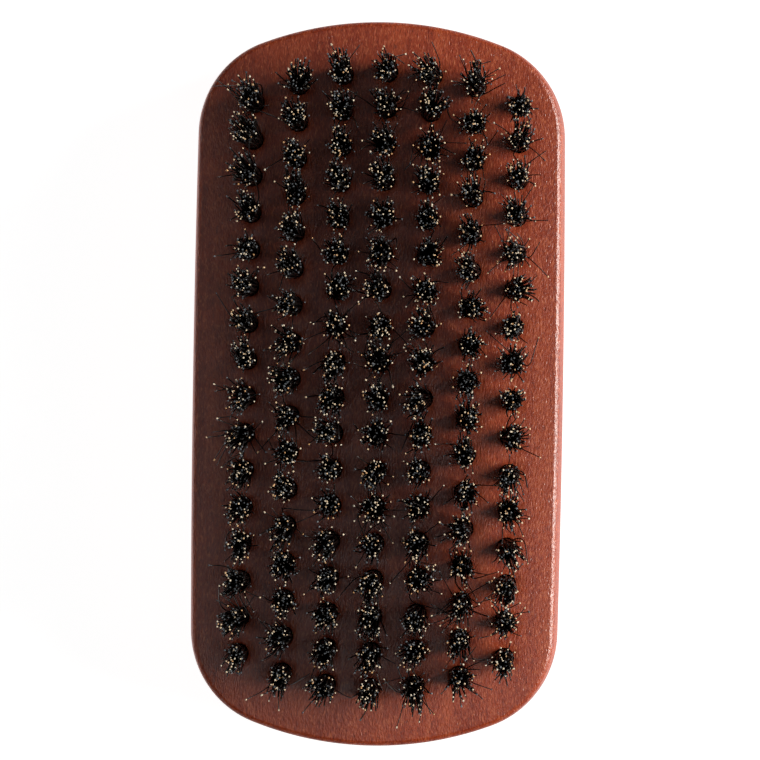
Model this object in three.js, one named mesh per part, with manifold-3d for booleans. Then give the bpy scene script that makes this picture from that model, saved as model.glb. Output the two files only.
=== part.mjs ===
// Palm beard brush: a solid hardwood block with seven rows of boar-bristle tufts.
// Millimetres, +Z up. The brush lies on its flat back with the bristles pointing up,
// +Y runs along the length, and the origin is the middle of the back.

import * as THREE from 'three';
import { mergeVertices } from 'three/addons/utils/BufferGeometryUtils.js';
import Module from 'manifold-3d';

// ---------------------------------------------------------------- driving dimensions

// Wooden block, seen from above: end, corner and side arcs that meet tangentially.
const LENGTH = 115;
const WIDTH = 59.1;
const THICKNESS = 18;
const END_RADIUS = 53.3;
const CORNER_RADIUS = 15.7;
const SIDE_RADIUS = 2680;
const END_STEPS = 8;
const CORNER_STEPS = 6;
const SIDE_STEPS = 6;

// Its edge, seen in section: widest part way up, rounded under to the flat back,
// and drawn in a little to the bristle face, more along the sides than at the ends.
const WIDEST_HEIGHT = 9;
const BACK_INSET = 6;
const FACE_INSET_SIDE = 1.2;
const FACE_INSET_END = 0.5;
const EDGE_STEPS_BELOW = 5;
const EDGE_STEPS_ABOVE = 3;

// Blind holes for the tufts, in rows drilled very slightly askew and off the block's middle.
const ROW_COUNT = 7;
const ROW_SPACING = 6.95;
const ROW_SKEW = THREE.MathUtils.degToRad(0.8);
const ROWS_CENTRE = new THREE.Vector2(0.4, 0.6);
const TUFT_PITCH = 5.7;
const MIDDLE_ROW_HALF_LENGTH = 48.4;
const ROW_ENDS_RADIUS = 45;
const HOLE_RADIUS = 1.6;
const HOLE_DEPTH = 8;
const HOLE_SIDES = 8;

// Bristle tufts: straight in the hole, splayed above the face.
const BRISTLE_HEIGHT = 13;
const TUFT_ROOT_RADIUS = 1.25;
const TUFT_HEAD_RADIUS = 1.9;
const TUFTS_PER_GROUP = 2;
const CLEARANCE = 0.3;
const CUT_CLEARANCE = 1;

// Points closer than this are one point.
const SAME_POINT = 1e-4;

// Stray bristles that tangle between the neighbours of a group, under the heads.
const TANGLE_WIDTH = 1.2;
const TANGLE_HEIGHT = 2.5;
const TANGLE_TOP_BELOW_HEADS = 2;

// ---------------------------------------------------------------- materials

function stainedWood() {
  return new THREE.MeshStandardMaterial({ color: 0x6b2c1c, roughness: 0.38, metalness: 0 });
}

function boarBristle() {
  return new THREE.MeshStandardMaterial({ color: 0x17130f, roughness: 0.45, metalness: 0 });
}

// ---------------------------------------------------------------- solids

const wasm = await Module();
wasm.setup();

// A closed solid for joining and cutting, from any closed geometry.
function toSolid(geometry) {
  const bare = geometry.clone();
  bare.deleteAttribute('normal');
  bare.deleteAttribute('uv');
  const merged = mergeVertices(bare, SAME_POINT);
  const corners = merged.index.array;
  const kept = [];
  for (let i = 0; i < corners.length; i += 3) {
    const [a, b, c] = corners.slice(i, i + 3);
    if (a !== b && b !== c && c !== a) kept.push(a, b, c);
  }
  return new wasm.Manifold(new wasm.Mesh({
    numProp: 3,
    vertProperties: new Float32Array(merged.attributes.position.array),
    triVerts: new Uint32Array(kept),
  }));
}

function toGeometry(solid) {
  const mesh = solid.getMesh();
  const geometry = new THREE.BufferGeometry();
  geometry.setAttribute('position', new THREE.BufferAttribute(mesh.vertProperties, 3));
  geometry.setIndex(new THREE.BufferAttribute(mesh.triVerts, 1));
  geometry.computeVertexNormals();
  return geometry;
}

// ---------------------------------------------------------------- block outline

const END_CENTRE = new THREE.Vector2(0, LENGTH / 2 - END_RADIUS);
const SIDE_CENTRE = new THREE.Vector2(WIDTH / 2 - SIDE_RADIUS, 0);
const CORNER_CENTRE = cornerCentre();

// The corner arc touches the end arc and the side arc from inside, so its centre is
// where circles about their centres, each smaller by the corner's radius, cross.
function cornerCentre() {
  const fromEnd = END_RADIUS - CORNER_RADIUS;
  const fromSide = SIDE_RADIUS - CORNER_RADIUS;
  const between = new THREE.Vector2().subVectors(SIDE_CENTRE, END_CENTRE);
  const distance = between.length();
  const along = (fromEnd ** 2 - fromSide ** 2 + distance ** 2) / (2 * distance);
  const across = Math.sqrt(fromEnd ** 2 - along ** 2);
  between.normalize();
  const outward = new THREE.Vector2(between.y, -between.x);
  if (outward.y < 0) outward.negate();
  return END_CENTRE.clone().addScaledVector(between, along).addScaledVector(outward, across);
}

// Angles at which the corner arc meets the side arc and the end arc.
const SIDE_JOIN_ANGLE = new THREE.Vector2().subVectors(CORNER_CENTRE, SIDE_CENTRE).angle();
const END_JOIN_ANGLE = new THREE.Vector2().subVectors(CORNER_CENTRE, END_CENTRE).angle();

// Points of one arc, each with the outline's outward direction there.
function arcPoints(centre, radius, from, to, steps) {
  const points = [];
  for (let i = 0; i < steps; i += 1) {
    const angle = from + (to - from) * i / steps;
    const outward = new THREE.Vector2(Math.cos(angle), Math.sin(angle));
    points.push({ place: centre.clone().addScaledVector(outward, radius), outward });
  }
  return points;
}

// A quarter of the outline, from the middle of the +X side to the middle of the +Y end.
function quarterOutline() {
  return [
    ...arcPoints(SIDE_CENTRE, SIDE_RADIUS, 0, SIDE_JOIN_ANGLE, SIDE_STEPS / 2),
    ...arcPoints(CORNER_CENTRE, CORNER_RADIUS, SIDE_JOIN_ANGLE, END_JOIN_ANGLE, CORNER_STEPS),
    ...arcPoints(END_CENTRE, END_RADIUS, END_JOIN_ANGLE, Math.PI / 2, END_STEPS / 2),
  ];
}

function mirrored(point, x, y) {
  const flip = new THREE.Vector2(x, y);
  return { place: point.place.clone().multiply(flip), outward: point.outward.clone().multiply(flip) };
}

// The whole outline, anticlockwise, from the quarter and its mirror images.
function blockOutline() {
  const rising = quarterOutline();
  const endMiddle = arcPoints(END_CENTRE, END_RADIUS, Math.PI / 2, Math.PI, 1);
  const falling = [...rising.slice(1), ...endMiddle].reverse();
  return [
    ...rising,
    ...falling.map((point) => mirrored(point, -1, 1)),
    ...rising.map((point) => mirrored(point, -1, -1)),
    ...falling.map((point) => mirrored(point, 1, -1)),
  ];
}

// ---------------------------------------------------------------- block

// Heights of the edge's rings and how far each lies inside the widest outline,
// as fractions of the back's inset and of the face's inset.
function edgeRings() {
  const rings = [];
  for (let i = 0; i < EDGE_STEPS_BELOW; i += 1) {
    const turn = Math.PI / 2 * i / EDGE_STEPS_BELOW;
    const height = WIDEST_HEIGHT * (1 - Math.cos(turn));
    rings.push({ height, back: 1 - Math.sin(turn), face: 0 });
  }
  for (let i = 0; i <= EDGE_STEPS_ABOVE; i += 1) {
    const rise = i / EDGE_STEPS_ABOVE;
    const height = WIDEST_HEIGHT + (THICKNESS - WIDEST_HEIGHT) * rise;
    rings.push({ height, back: 0, face: rise ** 2 });
  }
  return rings;
}

// The outline drawn up through the rings: an even extrusion whose points are then moved
// to each ring's height and inwards by its inset.
function blockBody() {
  const outline = blockOutline();
  const rings = edgeRings();
  const steps = rings.length - 1;
  const shape = new THREE.Shape(outline.map((point) => point.place));
  const geometry = new THREE.ExtrudeGeometry(shape, { depth: steps, steps, bevelEnabled: false });
  const places = geometry.attributes.position;
  for (let i = 0; i < places.count; i += 1) {
    const here = new THREE.Vector2(places.getX(i), places.getY(i));
    const { place, outward } = outline.find((point) => point.place.distanceTo(here) < SAME_POINT);
    const ring = rings[Math.round(places.getZ(i))];
    const faceInset = THREE.MathUtils.lerp(FACE_INSET_END, FACE_INSET_SIDE, outward.x ** 2);
    const inset = ring.back * BACK_INSET + ring.face * faceInset;
    places.setXYZ(i, place.x - outward.x * inset, place.y - outward.y * inset, ring.height);
  }
  return toSolid(geometry);
}

// ---------------------------------------------------------------- tuft places

// A row's tufts are evenly spaced between ends that lie on a shallow arc.
function rowPlaces(row) {
  const across = (row - (ROW_COUNT - 1) / 2) * ROW_SPACING;
  const drop = ROW_ENDS_RADIUS - Math.sqrt(ROW_ENDS_RADIUS ** 2 - across ** 2);
  const halfLength = MIDDLE_ROW_HALF_LENGTH - drop;
  const gaps = Math.round(2 * halfLength / TUFT_PITCH);
  const places = [];
  for (let i = 0; i <= gaps; i += 1) {
    const along = halfLength * (1 - 2 * i / gaps);
    const place = new THREE.Vector2(across + along * Math.tan(ROW_SKEW), along);
    places.push(place.add(ROWS_CENTRE));
  }
  return places;
}

// Neighbouring tufts of a row, in groups; the last group also takes the odd one left over.
function rowGroups(places) {
  const count = Math.floor(places.length / TUFTS_PER_GROUP);
  const groups = [];
  for (let i = 0; i < count; i += 1) {
    const end = i === count - 1 ? places.length : (i + 1) * TUFTS_PER_GROUP;
    groups.push(places.slice(i * TUFTS_PER_GROUP, end));
  }
  return groups;
}

// A blind hole, as the solid that the drill takes away.
function drilledHole(place) {
  const depth = HOLE_DEPTH + CUT_CLEARANCE;
  const hole = new THREE.CylinderGeometry(HOLE_RADIUS, HOLE_RADIUS, depth, HOLE_SIDES);
  hole.rotateX(Math.PI / 2);
  hole.translate(place.x, place.y, THICKNESS - HOLE_DEPTH + depth / 2);
  return toSolid(hole);
}

function woodBlock(rows) {
  let solid = blockBody();
  for (const places of rows) {
    for (const place of places) solid = solid.subtract(drilledHole(place));
  }
  const mesh = new THREE.Mesh(toGeometry(solid), stainedWood());
  mesh.name = 'wood_block';
  return mesh;
}

// ---------------------------------------------------------------- tufts

// One tuft, turned about its hole's axis, from just above the hole's floor to the cut tips.
function tuft(place) {
  const foot = THICKNESS - HOLE_DEPTH + CLEARANCE;
  const head = THICKNESS + BRISTLE_HEIGHT;
  const profile = [
    new THREE.Vector2(0, foot),
    new THREE.Vector2(TUFT_ROOT_RADIUS, foot),
    new THREE.Vector2(TUFT_ROOT_RADIUS, THICKNESS),
    new THREE.Vector2(TUFT_HEAD_RADIUS, head),
    new THREE.Vector2(0, head),
  ];
  const lathe = new THREE.LatheGeometry(profile, HOLE_SIDES);
  lathe.rotateX(Math.PI / 2);
  lathe.translate(place.x, place.y, 0);
  return toSolid(lathe);
}

// The tangled bristles between two neighbours.
function tangle(from, to) {
  const box = new THREE.BoxGeometry(TANGLE_WIDTH, from.distanceTo(to), TANGLE_HEIGHT);
  const middle = from.clone().add(to).multiplyScalar(0.5);
  const top = THICKNESS + BRISTLE_HEIGHT - TANGLE_TOP_BELOW_HEADS;
  box.translate(middle.x, middle.y, top - TANGLE_HEIGHT / 2);
  return toSolid(box);
}

function tuftGroup(places, name) {
  let solid = tuft(places[0]);
  for (let i = 1; i < places.length; i += 1) {
    solid = solid.add(tuft(places[i])).add(tangle(places[i - 1], places[i]));
  }
  const mesh = new THREE.Mesh(toGeometry(solid), boarBristle());
  mesh.name = name;
  return mesh;
}

// ---------------------------------------------------------------- brush

function beardBrush() {
  const brush = new THREE.Group();
  const rows = Array.from({ length: ROW_COUNT }, (_, row) => rowPlaces(row));
  brush.add(woodBlock(rows));
  rows.forEach((places, row) => {
    rowGroups(places).forEach((group, i) => {
      brush.add(tuftGroup(group, `tufts_row_${row + 1}_group_${i + 1}`));
    });
  });
  return brush;
}

export default beardBrush();
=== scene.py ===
"""Palm beard brush: a stained hardwood block with rows of black boar-bristle tufts.

Metres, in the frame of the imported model: the brush lies on its back, +Y along its
length, +Z towards the bristles.
"""
import math

import bpy
import numpy as np
from mathutils import Matrix, Vector, noise
from mathutils.geometry import delaunay_2d_cdt


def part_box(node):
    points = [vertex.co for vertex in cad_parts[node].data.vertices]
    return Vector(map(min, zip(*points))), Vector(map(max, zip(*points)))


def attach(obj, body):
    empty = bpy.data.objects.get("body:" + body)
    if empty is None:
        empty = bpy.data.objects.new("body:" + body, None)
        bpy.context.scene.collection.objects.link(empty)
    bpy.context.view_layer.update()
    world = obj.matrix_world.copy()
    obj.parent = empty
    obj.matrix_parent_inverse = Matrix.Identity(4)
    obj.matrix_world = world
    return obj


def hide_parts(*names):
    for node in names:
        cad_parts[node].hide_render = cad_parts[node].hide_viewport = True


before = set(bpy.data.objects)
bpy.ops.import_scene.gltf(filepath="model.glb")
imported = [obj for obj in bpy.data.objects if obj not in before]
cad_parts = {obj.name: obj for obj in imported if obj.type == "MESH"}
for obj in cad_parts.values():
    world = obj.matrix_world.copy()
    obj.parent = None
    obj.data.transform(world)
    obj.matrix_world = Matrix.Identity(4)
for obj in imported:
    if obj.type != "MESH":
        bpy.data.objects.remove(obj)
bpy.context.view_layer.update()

MM = 0.001

# ------------------------------------------------------------------ sizes from the frame

BLOCK_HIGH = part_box("wood_block")[1]
FACE_Z = BLOCK_HIGH.z
HALF_LENGTH = BLOCK_HIGH.y
HALF_WIDTH = BLOCK_HIGH.x
TUFT_NODES = sorted(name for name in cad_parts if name.startswith("tufts_row_"))
HEAD_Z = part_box(TUFT_NODES[0])[1].z
BRISTLE_HEIGHT = HEAD_Z - FACE_Z

# Block: arcs of the outline, and the section of its edge.
END_RADIUS = 53.3 * MM
CORNER_RADIUS = 15.7 * MM
SIDE_RADIUS = 2680 * MM
WIDEST_Z = 9 * MM
BACK_INSET = 6 * MM
FACE_INSET_SIDE = 0.8 * MM
FACE_INSET_END = 0.6 * MM
# The eased top edge, from the wall up: bend radius, tilt at the start and end, steps.
ARRIS_BENDS = ((0.35 * MM, 84, 42, 4), (1.6 * MM, 42, 20, 4), (0.5 * MM, 20, 0, 3))
ARRIS_WIDTH = 0.81 * MM
# The face rolls off a little towards its edge and has long shallow waves.
ROLL_OFF = 0.22 * MM
ROLL_WIDTH = 3.2 * MM
FACE_WAVE = 0.02 * MM
WAVE_ACROSS = 9 * MM
WAVE_ALONG = 22 * MM
# How far apart the mesh's points lie along the outline and on the face.
OUTLINE_STEP = 0.9 * MM
FACE_SPACING = 1.6 * MM

# Holes and tufts.
TUFT_HEAD_RADIUS = 1.9 * MM
TUFT_PITCH = 5.7 * MM
HOLE_RADIUS = 1.6 * MM
HOLE_DEPTH = 8 * MM
HOLE_SIDES = 20
RIM_RADIUS = 0.08 * MM
DRILL_CONE = 0.5 * MM

SEED = 11


# ------------------------------------------------------------------ mesh helpers

def new_piece(name, verts, faces, material, smooth=True):
    """A mesh object that rides on the brush's one body."""
    mesh = bpy.data.meshes.new(name)
    mesh.from_pydata([tuple(v) for v in verts], [], [tuple(f) for f in faces])
    mesh.validate()
    mesh.polygons.foreach_set("use_smooth", [smooth] * len(mesh.polygons))
    mesh.materials.append(material)
    mesh.update()
    piece = bpy.data.objects.new(name, mesh)
    bpy.context.scene.collection.objects.link(piece)
    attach(piece, "root")
    return piece


def ring_faces(lower, upper):
    """Quads between two rings of vertex numbers that run anticlockwise seen from above."""
    count = len(lower)
    return [(lower[i], lower[(i + 1) % count], upper[(i + 1) % count], upper[i]) for i in range(count)]


# ------------------------------------------------------------------ block outline

END_CENTRE = Vector((0, HALF_LENGTH - END_RADIUS))
SIDE_CENTRE = Vector((HALF_WIDTH - SIDE_RADIUS, 0))


def corner_centre():
    """Where the corner arc's centre lies, so that it touches the end and side arcs from inside."""
    from_end = END_RADIUS - CORNER_RADIUS
    from_side = SIDE_RADIUS - CORNER_RADIUS
    between = SIDE_CENTRE - END_CENTRE
    distance = between.length
    along = (from_end ** 2 - from_side ** 2 + distance ** 2) / (2 * distance)
    across = math.sqrt(from_end ** 2 - along ** 2)
    between.normalize()
    outward = Vector((between.y, -between.x))
    if outward.y < 0:
        outward.negate()
    return END_CENTRE + between * along + outward * across


CORNER_CENTRE = corner_centre()


def arc(centre, radius, start, end, step):
    """Points of an arc with their outward directions, without its last point."""
    count = max(2, round(radius * abs(end - start) / step))
    points = []
    for i in range(count):
        angle = start + (end - start) * i / count
        outward = Vector((math.cos(angle), math.sin(angle)))
        points.append((centre + outward * radius, outward))
    return points


def block_outline(step):
    """The widest outline, anticlockwise, as (place, outward direction) pairs."""
    side_join = math.atan2(*(CORNER_CENTRE - SIDE_CENTRE).yx)
    end_join = math.atan2(*(CORNER_CENTRE - END_CENTRE).yx)
    quarter = arc(SIDE_CENTRE, SIDE_RADIUS, 0, side_join, step)
    quarter += arc(CORNER_CENTRE, CORNER_RADIUS, side_join, end_join, step)
    quarter += arc(END_CENTRE, END_RADIUS, end_join, math.pi / 2, step)
    middle = [(Vector((0, HALF_LENGTH)), Vector((0, 1)))]
    falling = list(reversed(quarter[1:] + middle))

    def mirror(points, x, y):
        return [(Vector((p.x * x, p.y * y)), Vector((o.x * x, o.y * y))) for p, o in points]

    return quarter + mirror(falling, -1, 1) + mirror(quarter, -1, -1) + mirror(falling, 1, -1)


def edge_distance(x, y):
    """How far a point of the face lies inside the widest outline."""
    place = Vector((abs(x), abs(y)))
    to_end = END_RADIUS - (place - END_CENTRE).length
    to_side = SIDE_RADIUS - (place - SIDE_CENTRE).length
    beyond = place - CORNER_CENTRE
    if beyond.x > 0 and beyond.y > 0:
        return min(to_end, to_side, CORNER_RADIUS - beyond.length)
    return min(to_end, to_side)


def face_height(x, y):
    """The face: flat, rolled off a little towards its edge, and not quite even."""
    roll = ROLL_OFF * math.exp(-(edge_distance(x, y) / ROLL_WIDTH) ** 2)
    wave = FACE_WAVE * noise.noise(Vector((x / WAVE_ACROSS, y / WAVE_ALONG, 0.0)))
    return FACE_Z - roll + wave


# ------------------------------------------------------------------ tuft places

def tuft_rows():
    """Each row's nodes and tuft places, worked out from the boxes of its CAD groups."""
    rows = {}
    for node in TUFT_NODES:
        low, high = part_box(node)
        first = Vector((high.x - TUFT_HEAD_RADIUS, high.y - TUFT_HEAD_RADIUS))
        last = Vector((low.x + TUFT_HEAD_RADIUS, low.y + TUFT_HEAD_RADIUS))
        gaps = round((first.y - last.y) / TUFT_PITCH)
        row = rows.setdefault(int(node.split("_")[2]), {"nodes": [], "places": []})
        row["nodes"].append(node)
        row["places"] += [first.lerp(last, i / gaps) for i in range(gaps + 1)]
    return rows


ROWS = tuft_rows()
ALL_PLACES = [place for row in ROWS.values() for place in row["places"]]


# ------------------------------------------------------------------ block mesh

def arris_curve():
    """The eased edge from the wall up to the face: how far in and how far below at each step."""
    inward = down = 0.0
    curve = [(inward, down)]
    for radius, start, end, steps in ARRIS_BENDS:
        for i in range(steps):
            tilt = math.radians(start + (end - start) * (i + 0.5) / steps)
            length = radius * math.radians(start - end) / steps
            inward += length * math.cos(tilt)
            down -= length * math.sin(tilt)
            curve.append((inward, down))
    return [(inward, drop - down) for inward, drop in curve]


def block_edge(verts, outline):
    """Rings from the flat back round the widest outline to the face, as lists of vertex numbers."""
    rings = []

    def add_ring(inset_of, height_of):
        ring = []
        for place, outward in outline:
            at = place - outward * inset_of(outward)
            ring.append(len(verts))
            verts.append((at.x, at.y, height_of(at)))
        rings.append(ring)

    def to_face(outward):
        return FACE_INSET_END + (FACE_INSET_SIDE - FACE_INSET_END) * outward.x ** 2

    below = 14
    for i in range(below):
        turn = math.pi / 2 * i / below
        add_ring(lambda o, t=turn: BACK_INSET * (1 - math.sin(t)),
                 lambda p, t=turn: WIDEST_Z * (1 - math.cos(t)))
    curve = arris_curve()
    above = 7
    top = FACE_Z - curve[0][1]
    for i in range(above):
        rise = i / above
        add_ring(lambda o, r=rise: to_face(o) * r ** 2,
                 lambda p, r=rise: WIDEST_Z + (top - WIDEST_Z) * r)
    for inward, drop in curve:
        add_ring(lambda o, d=inward: to_face(o) + d,
                 lambda p, d=drop: face_height(p.x, p.y) - d)
    return rings


def block_face(verts, faces, rim):
    """The face between its rim and the holes, and each hole's wall and floor."""
    points = [Vector(verts[i][:2]) for i in rim]
    edges = [(i, (i + 1) % len(rim)) for i in range(len(rim))]
    outer = HOLE_RADIUS + RIM_RADIUS
    for place in ALL_PLACES:
        start = len(points)
        for i in range(HOLE_SIDES):
            angle = 2 * math.pi * i / HOLE_SIDES
            points.append(place + Vector((math.cos(angle), math.sin(angle))) * outer)
        edges += [(start + i, start + (i + 1) % HOLE_SIDES) for i in range(HOLE_SIDES)]
    margin = 0.4 * FACE_SPACING
    clear_of_hole = outer + margin
    clear_of_rim = FACE_INSET_SIDE + ARRIS_WIDTH + margin
    across = int(HALF_WIDTH / FACE_SPACING)
    along = int(HALF_LENGTH / FACE_SPACING)
    for i in range(-across, across + 1):
        for j in range(-along, along + 1):
            at = Vector((i * FACE_SPACING, (j + 0.5 * (i % 2)) * FACE_SPACING))
            if edge_distance(at.x, at.y) < clear_of_rim:
                continue
            if min((at - place).length for place in ALL_PLACES) > clear_of_hole:
                points.append(at)
    in_mm = [point / MM for point in points]
    made, _, triangles, sources, _, _ = delaunay_2d_cdt(in_mm, edges, [], 1, 1e-6)
    made = [point * MM for point in made]
    number = {}
    hole = {}
    after_holes = len(rim) + HOLE_SIDES * len(ALL_PLACES)
    for new, old in enumerate(sources):
        if old and old[0] < len(rim):
            number[new] = rim[old[0]]
            continue
        if old and old[0] < after_holes:
            hole[new] = (old[0] - len(rim)) // HOLE_SIDES
        number[new] = len(verts)
        verts.append((made[new].x, made[new].y, face_height(made[new].x, made[new].y)))
    for triangle in triangles:
        a, b, c = (hole.get(i) for i in triangle)
        if a is None or not a == b == c:
            faces.append([number[i] for i in triangle])
    at_source = {old[0]: new for new, old in enumerate(sources) if old}
    for k, place in enumerate(ALL_PLACES):
        start = len(rim) + k * HOLE_SIDES
        mouth = [number[at_source[start + i]] for i in range(HOLE_SIDES)]
        hole_wall(verts, faces, place, mouth)


def hole_wall(verts, faces, place, mouth):
    """A blind hole below its mouth: a softened rim, a straight wall and the drill's cone."""
    rim_steps = ((0.3, 0.35), (0.0, 1.0))
    rings = [mouth]
    top = face_height(place.x, place.y)
    levels = [(HOLE_RADIUS + RIM_RADIUS * out, top - RIM_RADIUS * drop) for out, drop in rim_steps]
    levels.append((HOLE_RADIUS, FACE_Z - HOLE_DEPTH))
    for radius, height in levels:
        ring = []
        for i in range(HOLE_SIDES):
            angle = 2 * math.pi * i / HOLE_SIDES
            ring.append(len(verts))
            verts.append((place.x + radius * math.cos(angle), place.y + radius * math.sin(angle), height))
        rings.append(ring)
    for upper, lower in zip(rings, rings[1:]):
        faces.extend(ring_faces(upper, lower))
    centre = len(verts)
    verts.append((place.x, place.y, FACE_Z - HOLE_DEPTH - DRILL_CONE))
    floor = rings[-1]
    faces.extend((floor[i], floor[(i + 1) % HOLE_SIDES], centre) for i in range(HOLE_SIDES))


def wood_block(material):
    """The block with its eased edges and its blind holes, as one closed mesh."""
    verts = []
    faces = []
    outline = block_outline(OUTLINE_STEP)
    rings = block_edge(verts, outline)
    faces.append(list(reversed(rings[0])))
    for lower, upper in zip(rings, rings[1:]):
        faces.extend(ring_faces(lower, upper))
    block_face(verts, faces, rings[-1])
    piece = new_piece("stained_wood_block", verts, faces, material)
    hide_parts("wood_block")


# ------------------------------------------------------------------ bristles

# Filaments are folded at the hole's bottom, so each gives two ends.
FILAMENTS = 45
FOLD_DEPTH = 7.4 * MM
ANCHOR_TURN = math.radians(90)
ROOT_SPREAD = 1.42 * MM
HEAD_SPREAD = np.array([1.4, 1.85])
HEAD_VARIATION = 0.13
LEAN = 0.36 * MM
CLUMPS = 7
CLING = 0.3
SCATTER = 0.30 * MM
SHAFT_RADIUS = 0.125 * MM
SHAFT_TAPER = 0.85
STRAY_TAPER = 0.55
SHAFT_SIDES = 5
RINGS_ABOVE = 9
GOLDEN_ANGLE = math.pi * (3 - math.sqrt(5))

# A few bristles stray far out of each tuft, many more of them out of an unruly one,
# and about half of them follow one favoured direction. Others only fray a little.
STRAY_SHARE = 0.075
STRAY_REACH = 0.85 * MM
STRAY_LIMIT = 5 * MM
STRAY_FOLLOWS = 0.55
STRAY_SWING = 0.5
STRAY_BOW = 0.22
STRAY_BEND = (1.6, 3.4)
FUZZ_SHARE = 0.2
FUZZ_REACH = 0.3 * MM

# The other bristles: how they bow and bend, and how far their lengths differ.
BOW = 0.06 * MM
BEND = (1.0, 1.6)
LENGTH_VARIATION = 0.2 * MM
ARC_EXCESS = 1.15
LOWEST_RISE = 0.35

# Below the hole's mouth each leg leans inwards to its fold round the anchor.
LEG_DEPTH = 0.55
LEG_INWARD = 0.75
FOLD_INWARD = 0.8
FOLD_VARIATION = 0.6 * MM


def turned(direction, angle):
    """Flat directions turned by an angle each."""
    cos, sin = np.cos(angle), np.sin(angle)
    x, y = direction[:, 0], direction[:, 1]
    return np.stack([x * cos - y * sin, x * sin + y * cos], axis=1)


def head_places(root, rng):
    """Where the tips would be if none strayed: the bundle spread out, in loose clumps."""
    spread = root * HEAD_SPREAD * rng.uniform(1 - HEAD_VARIATION, 1 + HEAD_VARIATION, 2)
    clumps = spread[rng.choice(len(root), CLUMPS, replace=False)]
    gaps = np.linalg.norm(spread[:, None] - clumps[None], axis=2)
    nearest = clumps[np.argmin(gaps, axis=1)]
    scatter = rng.normal(0, SCATTER, root.shape)
    return spread + (nearest - spread) * CLING + scatter + rng.normal(0, LEAN, 2)


def leg_ends(place, rng):
    """Root and tip of every leg of one tuft, and how each leg bends on its way."""
    count = 2 * FILAMENTS
    index = np.arange(count)
    angle = index * GOLDEN_ANGLE + rng.uniform(0, 2 * math.pi)
    radius = ROOT_SPREAD * np.sqrt((index + 0.5) / count)
    outward = np.stack([np.cos(angle), np.sin(angle)], axis=1)
    root = radius[:, None] * outward
    tip = head_places(root, rng)
    unruly = rng.gamma(1.2, 1.0)
    stray = rng.uniform(0, 1, count) < STRAY_SHARE * unruly
    fuzzy = ~stray & (rng.uniform(0, 1, count) < FUZZ_SHARE * radius / ROOT_SPREAD)
    favoured = rng.uniform(0, 2 * math.pi)
    shared = np.tile([math.cos(favoured), math.sin(favoured)], (count, 1))
    follows = rng.uniform(0, 1, count) < STRAY_FOLLOWS
    way = turned(np.where((stray & follows)[:, None], shared, outward), rng.normal(0, STRAY_SWING, count))
    reach = np.where(stray, np.minimum(rng.gamma(2.4, STRAY_REACH, count), STRAY_LIMIT), 0)
    reach = np.where(fuzzy, rng.gamma(2.0, FUZZ_REACH, count), reach)
    tip = tip + reach[:, None] * way
    across = turned(way, np.full(count, math.pi / 2))
    bow = rng.normal(0, BOW, (count, 2)) + across * (reach * rng.normal(0, STRAY_BOW, count))[:, None]
    away = np.linalg.norm(tip - root, axis=1)
    uneven = rng.normal(0, LENGTH_VARIATION, count) - rng.gamma(1.2, LENGTH_VARIATION, count)
    length = BRISTLE_HEIGHT + uneven
    rise = np.sqrt(np.maximum(length ** 2 - ARC_EXCESS * away ** 2, (LOWEST_RISE * length) ** 2))
    centre = np.array([place.x, place.y])
    return {
        "root": root + centre,
        "tip": tip + centre,
        "rise": rise,
        "bow": bow,
        "stray": stray,
        "bend": np.where(stray, rng.uniform(*STRAY_BEND, count), rng.uniform(*BEND, count)),
        "taper": np.where(stray, STRAY_TAPER, SHAFT_TAPER),
    }


def leg_paths(legs):
    """Points up each leg, from the hole's mouth to the tip."""
    t = np.linspace(0, 1, RINGS_ABOVE)[None, :, None]
    root = legs["root"][:, None, :]
    side = (legs["tip"] - legs["root"])[:, None, :]
    flat = root + side * t ** legs["bend"][:, None, None]
    flat = flat + legs["bow"][:, None, :] * np.sin(math.pi * t)
    height = FACE_Z + legs["rise"][:, None, None] * t
    return np.concatenate([flat, np.broadcast_to(height, flat.shape[:2] + (1,))], axis=2)


def fold_paths(place, rng):
    """Whole filaments of one tuft, from one tip down round the anchor and up to the other."""
    legs = leg_ends(place, rng)
    root = legs["root"]
    up = leg_paths(legs)
    centre = np.array([place.x, place.y])
    through = np.array([math.cos(ANCHOR_TURN), math.sin(ANCHOR_TURN)])
    offset = (root - centre) @ through
    along = (root - centre) @ np.array([-through[1], through[0]])
    order = np.argsort(offset)
    left = order[:FILAMENTS]
    left = left[np.argsort(along[left])]
    right = order[FILAMENTS:]
    right = right[np.argsort(along[right])]
    bottom = np.empty((FILAMENTS, 3, 3))
    for k, side in ((0, left), (2, right)):
        bottom[:, k, :2] = centre + (root[side] - centre) * LEG_INWARD
        bottom[:, k, 2] = FACE_Z - FOLD_DEPTH * LEG_DEPTH
    bottom[:, 1, :2] = centre + ((root[left] + root[right]) / 2 - centre) * FOLD_INWARD
    bottom[:, 1, 2] = FACE_Z - FOLD_DEPTH + rng.uniform(0, FOLD_VARIATION, FILAMENTS)
    paths = np.concatenate([up[left][:, ::-1], bottom, up[right]], axis=1)
    rise = np.linspace(0, 1, RINGS_ABOVE)[None, :]
    taper = SHAFT_RADIUS * (1 + (legs["taper"][:, None] - 1) * rise)
    middle = np.full((FILAMENTS, 3), SHAFT_RADIUS)
    radii = np.concatenate([taper[left][:, ::-1], middle, taper[right]], axis=1)
    return paths, radii, up, legs


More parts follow.
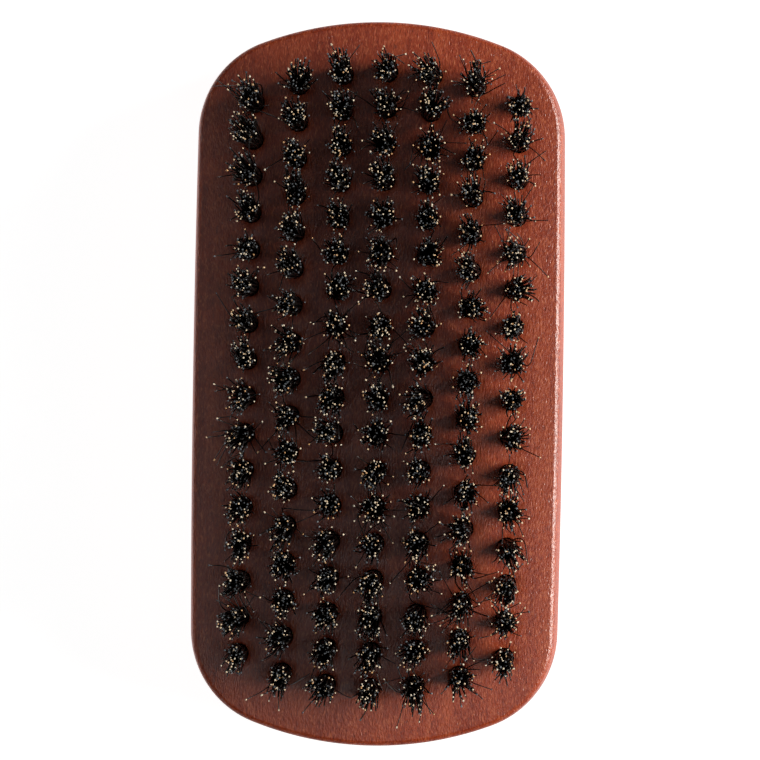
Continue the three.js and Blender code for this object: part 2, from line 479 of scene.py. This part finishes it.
def tube_arrays(paths, radii, sides):
    """Closed tubes along many paths at once: vertices and quads, with a cap at each end."""
    count, rings, _ = paths.shape
    tangent = np.gradient(paths, axis=1)
    tangent /= np.linalg.norm(tangent, axis=2, keepdims=True)
    reference = np.array([0.83, 0.31, 0.46])
    first = np.cross(tangent, reference)
    first /= np.linalg.norm(first, axis=2, keepdims=True)
    second = np.cross(tangent, first)
    angle = (2 * math.pi * np.arange(sides) / sides)[:, None]
    circle = np.cos(angle) * first[:, :, None, :] + np.sin(angle) * second[:, :, None, :]
    verts = paths[:, :, None, :] + radii[:, :, None, None] * circle
    per_tube = rings * sides
    base = (np.arange(count) * per_tube)[:, None, None]
    ring = (np.arange(rings - 1) * sides)[None, :, None]
    corner = np.arange(sides)[None, None, :]
    after = (corner + 1) % sides
    here = base + ring
    quads = np.stack([here + corner, here + after, here + sides + after, here + sides + corner], axis=-1)
    quads = quads.reshape(-1, 4).tolist()
    starts = np.arange(count) * per_tube
    last = per_tube - sides
    caps = [[int(s) + i for i in reversed(range(sides))] for s in starts]
    caps += [[int(s) + last + i for i in range(sides)] for s in starts]
    return verts.reshape(-1, 3), quads + caps


# ------------------------------------------------------------------ cut ends

CAP_RADIUS = 0.145 * MM
CAP_LENGTH = 0.10 * MM
CAP_SIDES = 7
# Ring radii and heights of the dome, as shares of the radius and the length.
CAP_RINGS = np.array([0.9, 1.0, 0.72, 0.3])
CAP_LEVELS = np.array([0.55, 0.9, 1.0])
CAP_SIZES = (0.65, 1.15)
# How far the cut end's colour runs down the bristle: at least, and on average beyond. On the grey caps
# this is painted sheen running down the glossy black tip.
CAP_OVERLAP = 0.03 * MM
CAP_RUN = 0.10 * MM
# The share of cut ends that are pale, and that are grey out of the rest. The grey caps are painted sheen
# on glossy black tips, not a colour the bristles have.
PALE_SHARE = 0.23
PALE_SHARE_STRAY = 0.4
PAINTED_SHEEN_SHARE = 0.42


def cap_paths(up, rng):
    """A domed cap on each tip that runs a little way down the bristle, further on some."""
    tip = up[:, -1]
    way = up[:, -1] - up[:, -2]
    way /= np.linalg.norm(way, axis=1, keepdims=True)
    down = rng.gamma(1.3, CAP_RUN, len(up))
    top = CAP_LEVELS * CAP_LENGTH
    steps = np.concatenate([-CAP_OVERLAP - down[:, None], np.tile(top, (len(up), 1))], axis=1)
    return tip[:, None, :] + way[:, None, :] * steps[:, :, None]


def cap_radii(count, rng):
    """Each cap's ring radii: some ends are thicker than others."""
    size = rng.uniform(*CAP_SIZES, count)[:, None]
    return CAP_RADIUS * size * CAP_RINGS[None, :]


# ------------------------------------------------------------------ anchors

ANCHOR_WIDTH = 3.3 * MM
ANCHOR_HEIGHT = 1.7 * MM
ANCHOR_THICKNESS = 0.35 * MM
ANCHOR_BEVEL = 0.06 * MM
ANCHOR_LIFT = 0.75 * MM


def anchor(verts, faces, place):
    """A flat snip of wire that stands on edge in the hole and pins the fold."""
    low = FACE_Z - FOLD_DEPTH + ANCHOR_LIFT
    across = Vector((-math.sin(ANCHOR_TURN), math.cos(ANCHOR_TURN), 0))
    through = Vector((math.cos(ANCHOR_TURN), math.sin(ANCHOR_TURN), 0))
    middle = Vector((place.x, place.y, low + ANCHOR_HEIGHT / 2))
    start = len(verts)
    half_width = ANCHOR_WIDTH / 2
    half_thickness = ANCHOR_THICKNESS / 2
    half_height = ANCHOR_HEIGHT / 2
    levels = (
        (-half_height, ANCHOR_BEVEL),
        (-half_height + ANCHOR_BEVEL, 0),
        (half_height - ANCHOR_BEVEL, 0),
        (half_height, ANCHOR_BEVEL),
    )
    for height, inset in levels:
        for a, b in ((1, 1), (-1, 1), (-1, -1), (1, -1)):
            out = across * (a * (half_width - inset)) + through * (b * (half_thickness - inset))
            at = middle + out
            verts.append((at.x, at.y, at.z + height))
    rings = [[start + 4 * k + i for i in range(4)] for k in range(4)]
    for lower, upper in zip(rings, rings[1:]):
        faces.extend(ring_faces(lower, upper))
    faces.append(list(reversed(rings[0])))
    faces.append(rings[-1])


# ------------------------------------------------------------------ materials

class Nodes:
    """Short calls for building a material's node tree."""

    def __init__(self, name):
        self.material = bpy.data.materials.new(name)
        self.material.use_nodes = True
        self.tree = self.material.node_tree
        self.shader = next(n for n in self.tree.nodes if n.type == "BSDF_PRINCIPLED")

    def add(self, kind, **values):
        node = self.tree.nodes.new(kind)
        for key, value in values.items():
            setattr(node, key, value)
        return node

    def link(self, output, socket):
        self.tree.links.new(output, socket)

    def place(self, scale):
        """Object coordinates, stretched."""
        coordinates = self.add("ShaderNodeTexCoord")
        mapping = self.add("ShaderNodeMapping")
        mapping.inputs["Scale"].default_value = scale
        self.link(coordinates.outputs["Object"], mapping.inputs["Vector"])
        return mapping.outputs["Vector"]

    def noise(self, vector, detail=2.0, roughness=0.5, distortion=0.0):
        node = self.add("ShaderNodeTexNoise")
        node.inputs["Scale"].default_value = 1.0
        node.inputs["Detail"].default_value = detail
        node.inputs["Roughness"].default_value = roughness
        node.inputs["Distortion"].default_value = distortion
        self.link(vector, node.inputs["Vector"])
        return node.outputs["Fac"]

    def ramp(self, factor, stops):
        node = self.add("ShaderNodeValToRGB")
        elements = node.color_ramp.elements
        while len(elements) < len(stops):
            elements.new(0.5)
        for element, (position, colour) in zip(elements, stops):
            element.position = position
            element.color = (*colour, 1)
        self.link(factor, node.inputs["Fac"])
        return node.outputs["Color"]

    def range(self, value, low, high, to_low, to_high):
        node = self.add("ShaderNodeMapRange")
        limits = {"From Min": low, "From Max": high, "To Min": to_low, "To Max": to_high}
        for name, number in limits.items():
            node.inputs[name].default_value = number
        self.link(value, node.inputs["Value"])
        return node.outputs["Result"]

    def mix(self, factor, first, second, blend="MIX"):
        node = self.add("ShaderNodeMix", data_type="RGBA", blend_type=blend)
        sockets = (node.inputs[0], node.inputs[6], node.inputs[7])
        for socket, value in zip(sockets, (factor, first, second)):
            if isinstance(value, bpy.types.NodeSocket):
                self.link(value, socket)
            elif isinstance(value, tuple):
                socket.default_value = (*value, 1)
            else:
                socket.default_value = value
        return node.outputs[2]

    def bump(self, height, distance):
        node = self.add("ShaderNodeBump")
        node.inputs["Strength"].default_value = 1.0
        node.inputs["Distance"].default_value = distance
        self.link(height, node.inputs["Height"])
        return node.outputs["Normal"]

    def set(self, **values):
        """Plain values straight on the shader's own sockets."""
        for name, value in values.items():
            self.shader.inputs[name.replace("_", " ")].default_value = value


WOOD_DARK = (0.27, 0.028, 0.008)
WOOD_MID = (0.39, 0.050, 0.013)
WOOD_LIGHT = (0.52, 0.086, 0.024)
PORE_COLOUR = (0.12, 0.016, 0.008)
FLECK_COLOUR = (0.66, 0.165, 0.068)
GRAIN_DEPTH = 0.09 * MM


def stained_wood():
    """Fine straight-grained hardwood under a red-brown stain and a thin satin lacquer."""
    nodes = Nodes("stained_wood")
    streaks = nodes.noise(nodes.place((420, 26, 420)), detail=4.0, roughness=0.62, distortion=0.25)
    colour = nodes.ramp(streaks, ((0.28, WOOD_DARK), (0.5, WOOD_MID), (0.74, WOOD_LIGHT)))
    patches = nodes.noise(nodes.place((60, 30, 60)), detail=2.0)
    tone = nodes.ramp(patches, ((0.3, (0.86, 0.84, 0.82)), (0.7, (1.10, 1.12, 1.14))))
    colour = nodes.mix(0.8, colour, tone, "MULTIPLY")
    fibres = nodes.noise(nodes.place((3600, 1200, 3600)), detail=3.0, roughness=0.65, distortion=0.5)
    colour = nodes.mix(nodes.range(fibres, 0.44, 0.32, 0.0, 0.6), colour, PORE_COLOUR)
    colour = nodes.mix(nodes.range(fibres, 0.52, 0.68, 0.0, 0.9), colour, FLECK_COLOUR)
    nodes.link(colour, nodes.shader.inputs["Base Color"])
    nodes.link(nodes.range(fibres, 0.3, 0.7, 0.62, 0.48), nodes.shader.inputs["Roughness"])
    grain = nodes.noise(nodes.place((3800, 1500, 3800)), detail=1.0, roughness=0.5, distortion=0.4)
    normal = nodes.bump(grain, GRAIN_DEPTH)
    nodes.link(normal, nodes.shader.inputs["Normal"])
    nodes.link(normal, nodes.shader.inputs["Coat Normal"])
    nodes.set(Specular_IOR_Level=0.0, Coat_Weight=0.5, Coat_Roughness=0.34, Coat_IOR=2.4)
    return nodes.material


def island_material(name, stops, roughness):
    """A colour that differs from bristle to bristle, with a fine mottle along each."""
    nodes = Nodes(name)
    geometry = nodes.add("ShaderNodeNewGeometry")
    colour = nodes.ramp(geometry.outputs["Random Per Island"], stops)
    mottle = nodes.noise(nodes.place((3000, 3000, 900)), detail=2.0)
    tone = nodes.ramp(mottle, ((0.25, (0.7, 0.7, 0.7)), (0.75, (1.25, 1.25, 1.25))))
    gloss = nodes.range(mottle, 0.3, 0.7, roughness - 0.08, roughness + 0.08)
    nodes.link(nodes.mix(0.7, colour, tone, "MULTIPLY"), nodes.shader.inputs["Base Color"])
    nodes.link(gloss, nodes.shader.inputs["Roughness"])
    return nodes.material


def boar_bristle():
    """Black, with a few brown and grey bristles among them."""
    stops = (
        (0.0, (0.006, 0.006, 0.007)),
        (0.55, (0.013, 0.012, 0.012)),
        (0.85, (0.030, 0.022, 0.017)),
        (1.0, (0.05, 0.045, 0.045)),
    )
    return island_material("boar_bristle", stops, 0.38)


def pale_cut_end():
    """Cream to amber."""
    stops = ((0.0, (1.0, 0.88, 0.70)), (0.65, (0.98, 0.74, 0.48)), (1.0, (0.80, 0.42, 0.17)))
    return island_material("pale_cut_end", stops, 0.55)


def painted_sheen_cut_end():
    """Blue-grey painted sheen on the glossy black cut ends, darker than the pale ones."""
    stops = ((0.0, (0.05, 0.056, 0.065)), (0.6, (0.11, 0.125, 0.145)), (1.0, (0.24, 0.26, 0.28)))
    return island_material("painted_sheen_cut_end", stops, 0.5)


def anchor_metal():
    """Drawn brass wire."""
    nodes = Nodes("anchor_metal")
    draw = nodes.noise(nodes.place((1800, 1800, 9000)), detail=2.0)
    colour = nodes.ramp(draw, ((0.3, (0.55, 0.40, 0.18)), (0.7, (0.76, 0.60, 0.32))))
    nodes.link(colour, nodes.shader.inputs["Base Color"])
    nodes.link(nodes.range(draw, 0.3, 0.7, 0.3, 0.45), nodes.shader.inputs["Roughness"])
    nodes.set(Metallic=1.0)
    return nodes.material


# ------------------------------------------------------------------ brush

def bristle_row(number, row, materials):
    """One row's bristles, their pale cut ends, the grey caps of painted sheen on the tips, and their
    anchors.
    """
    rng = np.random.default_rng(SEED + number)
    tufts = [fold_paths(place, rng) for place in row["places"]]
    paths, radii, tips = (np.concatenate([tuft[k] for tuft in tufts]) for k in range(3))
    stray = np.concatenate([legs["stray"] for _, _, _, legs in tufts])
    verts, faces = tube_arrays(paths, radii, SHAFT_SIDES)
    shafts = new_piece(f"bristles_row_{number}", verts, faces, materials["bristle"])
    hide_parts(*row["nodes"])
    caps = cap_paths(tips, rng)
    sizes = cap_radii(len(caps), rng)
    pale = rng.uniform(0, 1, len(caps)) < np.where(stray, PALE_SHARE_STRAY, PALE_SHARE)
    # The grey caps are painted sheen: a blue-grey colour put on black tips where glossy ends would catch
    # the light.
    grey = ~pale & (rng.uniform(0, 1, len(caps)) < PAINTED_SHEEN_SHARE)
    for kind, chosen in (("pale", pale), ("grey", grey)):
        verts, faces = tube_arrays(caps[chosen], sizes[chosen], CAP_SIDES)
        new_piece(f"{kind}_cut_ends_row_{number}", verts, faces, materials[kind])
    verts = []
    faces = []
    for place in row["places"]:
        anchor(verts, faces, place)
    new_piece(f"anchors_row_{number}", verts, faces, materials["anchor"], smooth=False)


def build_brush():
    wood_block(stained_wood())
    materials = {
        "bristle": boar_bristle(),
        "pale": pale_cut_end(),
        # The grey material is painted sheen on the black tips.
        "grey": painted_sheen_cut_end(),
        "anchor": anchor_metal(),
    }
    for number, row in sorted(ROWS.items()):
        bristle_row(number, row, materials)


# ------------------------------------------------------------------ stage, light, camera

CAMERA_HEIGHT = 450 * MM
EYE_OFFSET = Vector((14 * MM, 0))
AIM = Vector((0.28 * MM, 0.62 * MM))
ROLL = math.radians(0.886)
VIEW_WIDTH = 121.75 * MM
SENSOR = 36.0


def add_camera():
    """Straight above the brush, a little to its right, turned slightly."""
    eye = Vector((AIM.x + EYE_OFFSET.x, AIM.y + EYE_OFFSET.y, FACE_Z + CAMERA_HEIGHT))
    target = Vector((AIM.x, AIM.y, WIDEST_Z))
    ahead = (target - eye).normalized()
    right = ahead.cross(Vector((-math.sin(ROLL), math.cos(ROLL), 0))).normalized()
    up = right.cross(ahead)
    camera = bpy.data.objects.new("camera", bpy.data.cameras.new("camera"))
    turn = Matrix((right, up, -ahead)).transposed().to_4x4()
    camera.matrix_world = Matrix.Translation(eye) @ turn
    camera.data.sensor_width = SENSOR
    camera.data.lens = SENSOR * (target - eye).length / VIEW_WIDTH
    camera.data.clip_start = 0.01
    bpy.context.scene.collection.objects.link(camera)
    bpy.context.scene.camera = camera


FACE_CENTRE = Vector((0, 0, FACE_Z))
FLOOR_HALF = 1.5

# Name, place above the middle of the face, size across and up, power in watts, colour.
LIGHTS = (
    ("key", (0.598, 0.052, 0.360), (0.54, 0.14), 5.65, (1.0, 0.975, 0.92)),
    ("above_right", (0.165, -0.095, 0.60), (0.24, 0.13), 0.14, (1, 1, 1)),
    ("above_left", (-0.21, 0, 0.60), (0.13, 0.13), 0.03, (1, 1, 1)),
    ("above_near", (-0.05, -0.19, 0.60), (0.25, 0.11), 0.09, (1, 1, 1)),
    ("above_far", (-0.05, 0.25, 0.60), (0.30, 0.15), 0.05, (1, 1, 1)),
    ("left", (-0.424, 0, 0.424), (0.30, 0.30), 0.11, (1, 1, 1)),
)


def add_area_light(name, place, size, power, colour):
    """A soft rectangle of light that faces the middle of the brush."""
    light = bpy.data.lights.new(name, "AREA")
    light.shape = "RECTANGLE"
    light.size, light.size_y = size
    light.energy = power
    light.color = colour
    holder = bpy.data.objects.new(name, light)
    holder.location = FACE_CENTRE + place
    holder.rotation_euler = (-place).to_track_quat("-Z", "Y").to_euler()
    bpy.context.scene.collection.objects.link(holder)


def add_stage():
    """A plain near-white floor and soft studio light, the key low on the right."""
    mesh = bpy.data.meshes.new("floor")
    corners = [(x * FLOOR_HALF, y * FLOOR_HALF, 0) for x, y in ((-1, -1), (1, -1), (1, 1), (-1, 1))]
    mesh.from_pydata(corners, [], [(0, 1, 2, 3)])
    nodes = Nodes("floor")
    nodes.set(Base_Color=(0.4, 0.4, 0.4, 1), Roughness=0.9)
    nodes.set(Emission_Color=(1, 1, 1, 1), Emission_Strength=0.95)
    mesh.materials.append(nodes.material)
    floor = bpy.data.objects.new("floor", mesh)
    bpy.context.scene.collection.objects.link(floor)
    world = bpy.data.worlds.new("world")
    world.use_nodes = True
    background = world.node_tree.nodes["Background"]
    background.inputs["Color"].default_value = (1, 1, 1, 1)
    background.inputs["Strength"].default_value = 1.0
    seen_by = world.cycles_visibility
    seen_by.diffuse = False
    seen_by.glossy = False
    seen_by.transmission = False
    seen_by.scatter = False
    bpy.context.scene.world = world
    for name, place, size, power, colour in LIGHTS:
        add_area_light(name, Vector(place), size, power, colour)
    bpy.context.scene.view_settings.view_transform = "Standard"


add_camera()
add_stage()
build_brush()
